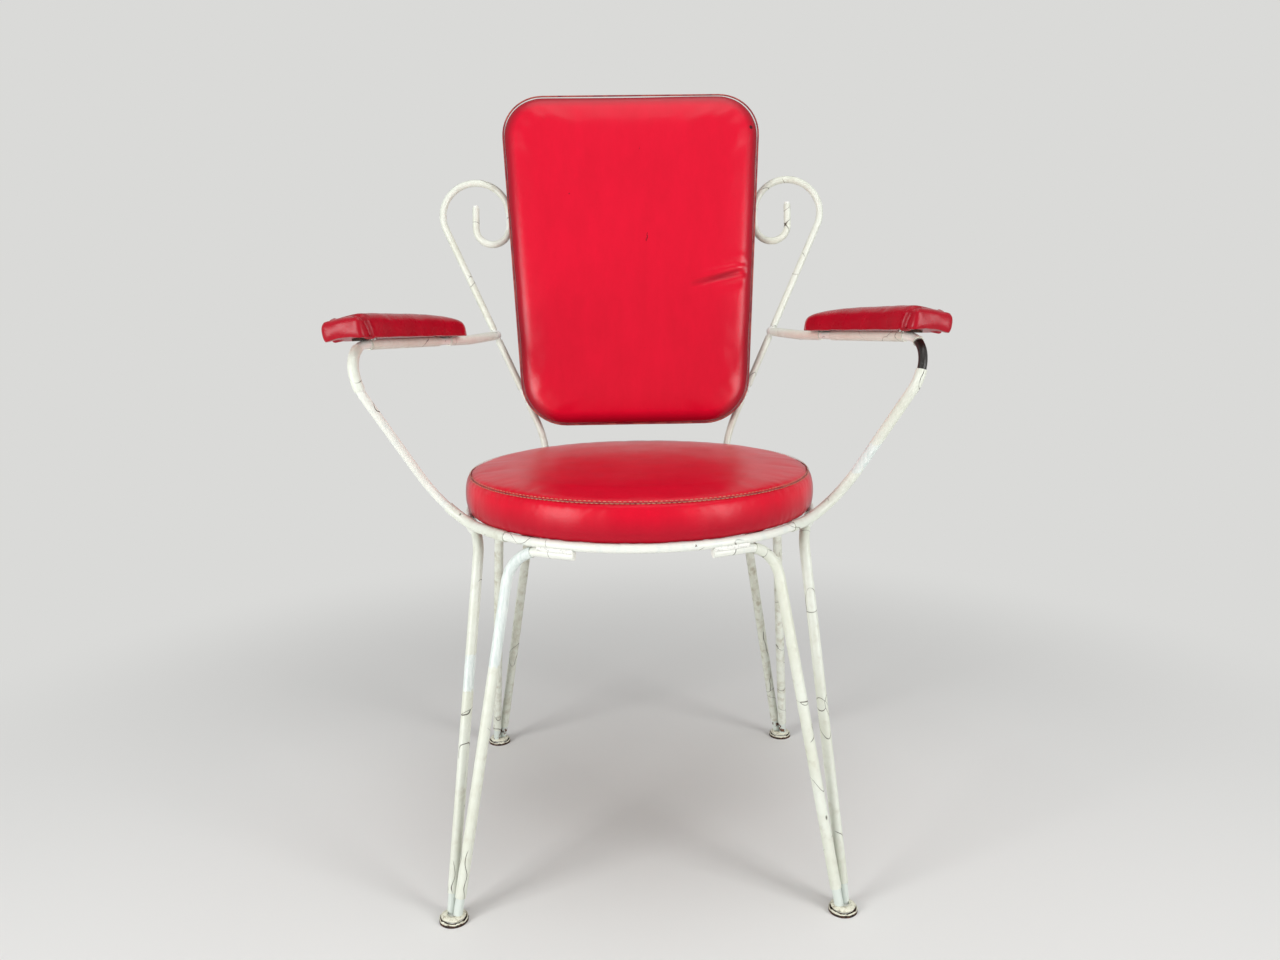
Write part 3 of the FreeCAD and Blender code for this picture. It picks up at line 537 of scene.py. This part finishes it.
def seatCushion():
    bm = bmesh.new()
    centre = seat["centre"]
    points = [bm.verts.new(centre + Vector((0, -r, z))) for r, z in seat["profile"]]
    edges = [bm.edges.new(pair) for pair in zip(points, points[1:])]
    bmesh.ops.spin(bm, geom=points + edges, axis=(0, 0, 1), cent=centre, angle=math.tau, steps=96,
                   use_merge=True)
    thing = toObject("seatCushion", meshOf(bm, "seatCushion"), "vinyl")
    remeshed(thing, seat["voxel"])

    def held(point):
        away = point - centre
        radius = math.hypot(away.x, away.y)
        if away.z < 0.005:
            return 1.0
        return 1.0 if abs(away.z - seat["seamHeight"]) < 0.003 and radius > 0.190 else 0.0

    puffed(thing, seat["pressure"], seat["cap"], held)
    smoothed(thing, 2)
    subdivided(thing)

    def sewn(point, normal):
        away = point - centre
        radius = math.hypot(away.x, away.y)
        angle = math.atan2(away.y, away.x)
        gap = math.hypot(radius - seat["seamRadius"], away.z - seat["seamHeight"])
        shift = normal * (-seat["seamDip"] * dip(gap, seat["seamWidth"]))
        if radius > 0.17:
            wave = noise.noise(Vector((math.cos(angle) * 9, math.sin(angle) * 9, away.z * 10)))
            fine = noise.noise(Vector((math.cos(angle) * 26, math.sin(angle) * 26, away.z * 30)))
            shift += normal * seat["broadWave"] * wave * dip(away.z - 0.020, 0.020)
            low = dip(away.z - 0.006, 0.010)
            shift += normal * seat["fineWave"] * fine * (low + dip(gap, 0.008))
        if away.z > 0.03:
            shift += Vector((0, 0, seat["topWave"] * noise.noise(point * 11)))
        return shift

    reshaped(thing, sewn)
    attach(thing, "root")
    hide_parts("seat_cover", "seat_foam")


def seatSeam():
    # Sunk cord in the seam, with a row of stitches on each side
    centre = seat["centre"]
    bm = bmesh.new()
    bmesh.ops.create_circle(bm, cap_ends=False, segments=8, radius=seat["cord"])
    bmesh.ops.rotate(bm, verts=bm.verts, cent=(0, 0, 0),
                     matrix=Matrix.Rotation(math.radians(90), 3, "X"))
    sunk = Vector((seat["seamRadius"] - seat["cordSunk"], 0, seat["seamHeight"] - seat["cordSunk"]))
    bmesh.ops.translate(bm, verts=bm.verts, vec=centre + sunk)
    bmesh.ops.spin(bm, geom=list(bm.verts) + list(bm.edges), axis=(0, 0, 1), cent=centre,
                   angle=math.tau, steps=120, use_merge=True)
    cord = toObject("seatPiping", meshOf(bm, "seatPiping"), "piping")
    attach(cord, "root")
    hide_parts("seat_welt")
    bm = bmesh.new()
    count = round(math.tau * seat["seamRadius"] / (seat["stitch"] * 1.25))
    for side in (-1, 1):
        radius = seat["seamRadius"] + side * seat["stitchGap"] * 0.75 + 0.0001
        height = seat["seamHeight"] - side * seat["stitchGap"] * 0.9 + 0.0001
        for i in range(count):
            angle = math.tau * (i + side * 0.25) / count
            spot = centre + Vector((radius * math.cos(angle), radius * math.sin(angle), height))
            shape = Matrix.Diagonal((seat["thread"], seat["stitch"] / 2, seat["thread"], 1))
            lay = Matrix.Translation(spot) @ Matrix.Rotation(angle, 4, "Z") @ shape
            bmesh.ops.create_uvsphere(bm, u_segments=6, v_segments=4, radius=1.0, matrix=lay)
    thread = toObject("seatStitches", meshOf(bm, "seatStitches"), "thread")
    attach(thread, "root")


def seatHem():
    # Vinyl turned under the board, gathered in small folds and stapled
    centre = seat["centre"]
    bm = bmesh.new()
    section = [(seat["hemInner"], 0.0002), (0.168, 0.0), (0.184, 0.0002), (0.1900, 0.0030),
               (0.1893, 0.0036), (0.1835, 0.0011), (0.168, 0.0010), (seat["hemInner"], 0.0010)]
    points = [bm.verts.new(centre + Vector((0, -r, z))) for r, z in section]
    edges = [bm.edges.new((a, b)) for a, b in zip(points, points[1:] + points[:1])]
    bmesh.ops.spin(bm, geom=points + edges, axis=(0, 0, 1), cent=centre, angle=math.tau, steps=180,
                   use_merge=True)
    for vertex in bm.verts:
        away = vertex.co - centre
        angle = math.atan2(away.y, away.x)
        ripple = noise.noise(Vector((math.cos(angle) * 14, math.sin(angle) * 14, 2.0)))
        if math.hypot(away.x, away.y) < 0.160:
            vertex.co -= away * (seat["gather"] * ripple)
    hem = toObject("seatHem", meshOf(bm, "seatHem"), "vinyl")
    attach(hem, "root")
    bm = bmesh.new()
    for i in range(seat["staples"]):
        angle = math.tau * i / seat["staples"]
        ring = seat["stapleRing"]
        spot = centre + Vector((ring * math.cos(angle), ring * math.sin(angle), -0.0001))
        tilt = Matrix.Rotation(angle + 0.35 * noise.noise(spot * 90), 4, "Z")
        lay = Matrix.Translation(spot) @ tilt @ Matrix.Diagonal((*seat["stapleSize"], 1))
        bmesh.ops.create_cube(bm, size=1.0, matrix=lay)
    bmesh.ops.bevel(bm, geom=list(bm.edges), offset=0.00012, offset_type="OFFSET", affect="EDGES",
                    segments=1, profile=0.5, material=-1)
    staples = toObject("seatStaples", meshOf(bm, "seatStaples"), "screw")
    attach(staples, "root")


# ---- back cushion: drawn flat, then leant into the back plane ----

back = {"origin": Vector((0, 0.14122, 0.39250)), "lean": math.radians(12.0), "low": 0.072,
        "height": 0.434, "topWidth": 0.3434, "lowWidth": 0.2910, "corner": 0.055, "depth": 0.032,
        "roll": 0.014, "pillow": 0.036, "pillowDrop": 0.0060, "voxel": 0.0045, "pressure": 4.0,
        "cap": 0.0012, "wave": 0.0009, "seamDip": 0.0010, "seamWidth": 0.0025, "cord": 0.0011,
        "foldAbove": 0.0030, "foldBelow": 0.0060, "ridge": 0.45, "ridgeAway": 0.0080,
        "ridgeWidth": 0.0050,
        "folds": [((0.1490, 0.2700), (0.0720, 0.2520), 0.0034),
                  ((0.1440, 0.2560), (0.0950, 0.2460), 0.0014),
                  ((0.1500, 0.2810), (0.1150, 0.2790), 0.0012)]}


def backPlane():
    # Turns the flat drawing (x across, y up the back, z out to the sitter) into place
    turn = Matrix.Rotation(math.radians(90) - back["lean"], 4, "X")
    return Matrix.Translation(back["origin"]) @ turn


def roundedPlate(corners, radii, segments):
    # A flat face with its corners rounded by the bevel operator
    bm = bmesh.new()
    face = bm.faces.new([bm.verts.new(corner) for corner in corners])
    for place, radius in zip([v.co.copy() for v in face.verts], radii):
        bm.verts.ensure_lookup_table()
        vertex = min(bm.verts, key=lambda v: (v.co - place).length)
        bmesh.ops.bevel(bm, geom=[vertex], offset=radius, offset_type="OFFSET", affect="VERTICES",
                        segments=segments, profile=0.5, material=-1)
    return bm


def backOutline():
    low, high = back["low"], back["low"] + back["height"]
    wideLow, wideHigh = back["lowWidth"] / 2, back["topWidth"] / 2
    return roundedPlate([(wideLow, low, 0), (wideHigh, high, 0), (-wideHigh, high, 0),
                         (-wideLow, low, 0)], [back["corner"]] * 4, 12)


def insideEdge(point):
    # Distance in from the back's outline
    share = (point.y - back["low"]) / back["height"]
    half = (back["lowWidth"] + (back["topWidth"] - back["lowWidth"]) * share) / 2
    across = half - abs(point.x)
    along = min(point.y - back["low"], back["low"] + back["height"] - point.y)
    corner = back["corner"]
    if across < corner and along < corner:
        return corner - math.hypot(corner - across, corner - along)
    return min(across, along)


def alongFold(point, start, end):
    # Signed distance over a fold's line, and 0 to 1 along it
    start, end = Vector(start), Vector(end)
    way = end - start
    flat = Vector((point.x, point.y))
    share = max(0.0, min(1.0, (flat - start).dot(way) / way.length_squared))
    off = flat - start - way * share
    return math.copysign(off.length, off.y), share


def backCushion():
    bm = backOutline()
    raised = bmesh.ops.extrude_face_region(bm, geom=list(bm.faces))
    top = [item for item in raised["geom"] if isinstance(item, bmesh.types.BMVert)]
    bmesh.ops.translate(bm, verts=top, vec=(0, 0, back["depth"] - 0.002))
    bmesh.ops.recalc_face_normals(bm, faces=bm.faces)
    front = [edge for edge in bm.edges if all(v.co.z > 0.02 for v in edge.verts)]
    bmesh.ops.bevel(bm, geom=front, offset=back["roll"], offset_type="OFFSET", affect="EDGES",
                    segments=7, profile=0.5, material=-1)
    thing = toObject("backCushion", meshOf(bm, "backCushion"), "backVinyl")
    remeshed(thing, back["voxel"])
    seamZ = back["depth"] - back["roll"]
    middle = back["low"] + back["height"] / 2

    def held(point):
        atSide = abs(point.x) > 0.12 or abs(point.y - middle) > back["height"] / 2 - 0.02
        return 1.0 if point.z < 0.004 or (abs(point.z - seamZ) < 0.003 and atSide) else 0.0

    puffed(thing, back["pressure"], back["cap"], held)
    smoothed(thing, 5)
    subdivided(thing)

    def worn(point, normal):
        shift = normal * back["wave"] * noise.noise(point * 9)
        shift -= normal * back["seamDip"] * dip(point.z - seamZ, back["seamWidth"])
        edge = max(0.0, 1 - insideEdge(point) / back["pillow"])
        shift.z -= back["pillowDrop"] * edge ** 2 * (point.z / back["depth"]) ** 2
        if point.z > 0.02:
            for start, end, depth in back["folds"]:
                gap, share = alongFold(point, start, end)
                fade = min(1.0, 0.15 + share * 7) * (1 - share ** 3)
                width = back["foldAbove"] if gap > 0 else back["foldBelow"]
                shift.z -= depth * fade * dip(gap, width)
                ridge = dip(gap - back["ridgeAway"], back["ridgeWidth"])
                shift.z += depth * back["ridge"] * fade * ridge
        return shift

    reshaped(thing, worn)
    thing.data.transform(backPlane())
    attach(thing, "root")
    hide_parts("back_cover", "back_foam")


def backPiping():
    # Covered cord sewn all round, where the front panel meets the side band
    bm = backOutline()
    loop = [vertex.co.copy() for vertex in list(bm.faces)[0].verts]
    bm.free()
    curve = bpy.data.curves.new("backPiping", "CURVE")
    curve.dimensions = "3D"
    curve.bevel_depth = back["cord"]
    curve.bevel_resolution = 2
    line = curve.splines.new("POLY")
    line.points.add(len(loop) - 1)
    for point, place in zip(line.points, loop):
        point.co = (place.x, place.y, back["depth"] - back["roll"], 1)
    line.use_cyclic_u = True
    drawn = bpy.data.objects.new("backPipingLine", curve)
    bpy.context.scene.collection.objects.link(drawn)
    graph = bpy.context.evaluated_depsgraph_get()
    mesh = bpy.data.meshes.new_from_object(drawn.evaluated_get(graph))
    bpy.data.objects.remove(drawn)
    mesh.transform(backPlane())
    for face in mesh.polygons:
        face.use_smooth = True
    thing = toObject("backPiping", mesh, "piping")
    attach(thing, "root")
    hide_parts("back_welt")


# ---- arm pads ----

pad = {"rearCorner": Vector((0.2095, 0.11131, 0.5802)),
       "frontCorner": Vector((0.312, -0.16069, 0.590)),
       "roll": math.radians(10.0), "lift": 0.00735, "rear": 0.030, "length": 0.235, "width": 0.052,
       "frontDepth": 0.025, "rearDepth": 0.022, "corner": 0.005, "edgeRoll": 0.008,
       "sag": 0.0050, "tail": 0.070, "tailDrop": 0.45, "wave": 0.0007, "pleatPlace": 0.013,
       "pleatDepth": 0.0034, "pleatBulge": 0.0014, "droop": 0.0016, "wrinkle": 0.0011,
       "voxel": 0.0035, "pressure": 6.0, "cap": 0.003}


def padPlane():
    # Leads from a flat drawing (x forward, y outward, z up) onto the right arm rod
    along = (pad["frontCorner"] - pad["rearCorner"]).normalized()
    across = Vector((0, 0, 1)).cross(along).normalized()
    columns = Matrix((along, across, along.cross(across))).transposed().to_4x4()
    return (Matrix.Translation(pad["rearCorner"]) @ columns @ Matrix.Rotation(-pad["roll"], 4, "X")
            @ Matrix.Translation((0, 0, pad["lift"])))


def armPad(side):
    half = pad["width"] / 2 - 0.001
    rear, front = pad["rear"], pad["rear"] + pad["length"] - 0.001
    bm = roundedPlate([(rear, -half, 0), (front, -half, 0), (front, half, 0), (rear, half, 0)],
                      [half - 0.0002, pad["corner"], pad["corner"], half - 0.0002], 10)
    raised = bmesh.ops.extrude_face_region(bm, geom=list(bm.faces))
    for item in raised["geom"]:
        if isinstance(item, bmesh.types.BMVert):
            share = (item.co.x - rear) / (front - rear)
            item.co.z = pad["rearDepth"] + (pad["frontDepth"] - pad["rearDepth"]) * share - 0.002
    bmesh.ops.recalc_face_normals(bm, faces=bm.faces)
    upper = [edge for edge in bm.edges if all(v.co.z > 0.01 for v in edge.verts)]
    bmesh.ops.bevel(bm, geom=upper, offset=pad["edgeRoll"], offset_type="OFFSET", affect="EDGES",
                    segments=4, profile=0.5, material=-1)
    bmesh.ops.triangulate(bm, faces=bm.faces)
    thing = toObject("armPad" + side, meshOf(bm, "armPad" + side), "padVinyl")
    remeshed(thing, pad["voxel"])
    puffed(thing, pad["pressure"], pad["cap"], lambda point: 1.0 if point.z < 0.003 else 0.0)
    subdivided(thing)

    def pleated(point, normal):
        shift = normal * pad["wave"] * noise.noise(point * 40)
        tail = max(0.0, 1 - (point.x - rear) / pad["tail"])
        inner = min(1.0, max(0.0, (-0.008 - point.y) / 0.012))
        below = max(0.0, 1 - point.z / pad["frontDepth"])
        shift.z -= pad["sag"] * inner * below * (1 - 0.4 * (point.x - rear) / (front - rear))
        shift.z -= point.z * pad["tailDrop"] * tail ** 2
        fold = point.x - (front - pad["pleatPlace"]) - (point.z - 0.012) * 0.25
        if abs(point.y) > half - 0.012:
            shift -= normal * pad["pleatDepth"] * dip(fold, 0.0030 if fold > 0 else 0.0018)
            shift += normal * pad["pleatBulge"] * dip(fold + 0.0045, 0.0025)
        if point.x > front - 0.02:
            shift += Vector((0, 0, -pad["droop"] * (point.z / pad["frontDepth"])))
            shift += normal * pad["wrinkle"] * noise.noise(point * 60)
        return shift

    reshaped(thing, pleated)
    thing.data.transform(padPlane())
    if side == "Left":
        thing.data.transform(Matrix.Scale(-1, 4, (1, 0, 0)))
        thing.data.flip_normals()
    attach(thing, "root")
    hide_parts("arm_pad_cover_" + side.lower(), "arm_pad_foam_" + side.lower())


# ---- feet ----

# Sections in millimetres: distance from the foot's axis, height
foot = {"lip": [(9.0, 0.3), (13.8, 0.3), (14.9, 1.0), (14.8, 2.4), (15.0, 3.7), (14.3, 4.2),
                (13.9, 3.4), (14.0, 1.6), (13.0, 1.0), (9.0, 1.0)],
        "skirt": [(6.4, 8.4), (9.2, 8.2), (11.6, 7.2), (13.0, 6.0), (12.7, 5.2), (11.4, 6.4),
                  (9.0, 7.4), (6.4, 7.6)],
        "flat": 9.0, "loose": 6.0, "crumple": 2.0, "pinch": 0.0010, "steps": 48}


def crumpledFoot(name, sheet):
    # One torn fold of the coating round a foot disc: the lip under it, or the skirt over it
    low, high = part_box(name)
    middle = (low + high) / 2
    bm = bmesh.new()
    points = [bm.verts.new((x / 1000, 0, z / 1000)) for x, z in foot[sheet]]
    edges = [bm.edges.new((a, b)) for a, b in zip(points, points[1:] + points[:1])]
    bmesh.ops.spin(bm, geom=points + edges, axis=(0, 0, 1), cent=(0, 0, 0), angle=math.tau,
                   steps=foot["steps"], use_merge=True)
    for vertex in bm.verts:
        angle = math.atan2(vertex.co.y, vertex.co.x)
        outward = Vector((math.cos(angle), math.sin(angle), 0))
        seed = outward * 2.2 + middle * 40 + Vector((0, 0, len(foot[sheet])))
        share = max(0.0, outward.dot(vertex.co) * 1000 - foot["flat"]) / foot["loose"]
        fold = noise.noise(seed) + 0.5 * noise.noise(seed * 3.1)
        vertex.co.z = max(0.0002, vertex.co.z + foot["crumple"] / 1000 * fold * share)
        pinch = abs(noise.noise(seed * 1.7 + Vector((3, 0, 0))))
        vertex.co -= outward * (foot["pinch"] * share * pinch)
    bmesh.ops.translate(bm, verts=bm.verts, vec=(middle.x, middle.y, 0))
    title = name.replace("foot_disc", "foot_" + sheet)
    thing = toObject(title, meshOf(bm, title), "foot")
    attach(thing, "root")


seatCushion()
print("seat cushion")
backCushion()
print("back cushion")
armPad("Right")
armPad("Left")
print("arm pads")
seatSeam()
seatHem()
backPiping()
for name in list(nodes):
    if "foot_disc" in name:
        crumpledFoot(name, "lip")
        crumpledFoot(name, "skirt")
print("seams, hem and feet")


# ---- camera, floor and light ----

view = {"place": Vector((-0.02203, -1.1914, 0.64715)), "pitch": 0.1902, "roll": -0.0141,
        "yaw": -0.0196, "focal": 1020.19, "imageWidth": 1280}


def addCamera():
    # Wide-angle camera a little over a metre in front, looking slightly down
    camera = bpy.data.cameras.new("camera")
    camera.sensor_width = 36.0
    camera.lens = camera.sensor_width * view["focal"] / view["imageWidth"]
    camera.clip_start = 0.01
    thing = bpy.data.objects.new("camera", camera)
    bpy.context.scene.collection.objects.link(thing)
    look = Vector((-math.sin(view["yaw"]) * math.cos(view["pitch"]),
                   math.cos(view["yaw"]) * math.cos(view["pitch"]), -math.sin(view["pitch"])))
    right = Vector((math.cos(view["yaw"]), math.sin(view["yaw"]), 0))
    up = right.cross(look)
    across = right * math.cos(view["roll"]) + up * math.sin(view["roll"])
    upward = up * math.cos(view["roll"]) - right * math.sin(view["roll"])
    turn = Matrix((across, upward, -look)).transposed().to_4x4()
    thing.matrix_world = Matrix.Translation(view["place"]) @ turn
    bpy.context.scene.camera = thing


stage = {"radius": 9.0, "clear": 0.45, "faded": 1.25, "floor": "#ebebe9", "backdrop": "#dadad8",
         "roomLight": 0.23}

# Place, point aimed at, width and height, watts
lamps = {"leftBox": ((-1.7, -1.5, 0.82), (0, 0, 0.50), (0.85, 1.2), 36),
         "rightBox": ((1.65, -1.45, 0.88), (0, 0, 0.50), (0.7, 1.3), 27),
         "ceiling": ((0.2, -0.3, 2.7), (0, 0, 0.2), (1.8, 1.8), 21)}


def seenThere(tree):
    # 1 for the camera's, reflected and transmitted rays: these see the backdrop itself
    path = addNode(tree, "ShaderNodeLightPath").outputs
    reflected = calc(tree, "MAXIMUM", path["Is Glossy Ray"], path["Is Transmission Ray"])
    return calc(tree, "MAXIMUM", path["Is Camera Ray"], reflected)


def addFloor():
    # Pale floor that runs out into the backdrop's tone, so that no horizon shows
    bm = bmesh.new()
    bmesh.ops.create_circle(bm, cap_ends=True, segments=96, radius=stage["radius"])
    floor = toObject("floor", meshOf(bm, "floor"), "paint")
    material, tree, shader, place = newMaterial("paleFloor", Roughness=0.95,
                                                Base_Color=hexColor(stage["floor"]))
    away = addNode(tree, "ShaderNodeVectorMath", {0: place}, operation="LENGTH").outputs["Value"]
    rim = addNode(tree, "ShaderNodeMapRange", {"Value": away, "From Min": stage["clear"],
                                               "From Max": stage["faded"]},
                  interpolation_type="SMOOTHSTEP").outputs["Result"]
    glow = addNode(tree, "ShaderNodeEmission", {"Color": hexColor(stage["backdrop"])})
    mixed = addNode(tree, "ShaderNodeMixShader", {0: calc(tree, "MULTIPLY", rim, seenThere(tree))})
    tree.links.new(shader.outputs[0], mixed.inputs[1])
    tree.links.new(glow.outputs[0], mixed.inputs[2])
    output = [node for node in tree.nodes if node.type == "OUTPUT_MATERIAL"][0]
    tree.links.new(mixed.outputs[0], output.inputs["Surface"])
    floor.data.materials[0] = material


def addLamp(name, place, target, size, power):
    lamp = bpy.data.lights.new(name, "AREA")
    lamp.shape = "RECTANGLE"
    lamp.size, lamp.size_y = size
    lamp.energy = power
    thing = bpy.data.objects.new(name, lamp)
    bpy.context.scene.collection.objects.link(thing)
    thing.location = place
    thing.rotation_euler = (Vector(target) - Vector(place)).to_track_quat("-Z", "Y").to_euler()


def addLight():
    world = bpy.data.worlds.new("studio")
    bpy.context.scene.world = world
    world.use_nodes = True
    tree = world.node_tree
    tree.nodes.clear()
    room = addNode(tree, "ShaderNodeBackground", {"Color": (1, 1, 1, 1),
                                                  "Strength": stage["roomLight"]})
    behind = addNode(tree, "ShaderNodeBackground", {"Color": hexColor(stage["backdrop"])})
    mixed = addNode(tree, "ShaderNodeMixShader", {0: seenThere(tree)})
    tree.links.new(room.outputs[0], mixed.inputs[1])
    tree.links.new(behind.outputs[0], mixed.inputs[2])
    output = addNode(tree, "ShaderNodeOutputWorld")
    tree.links.new(mixed.outputs[0], output.inputs["Surface"])
    for name, settings in lamps.items():
        addLamp(name, *settings)


addCamera()
addFloor()
addLight()
bpy.context.scene.view_settings.view_transform = "Standard"
print("camera, floor and light")
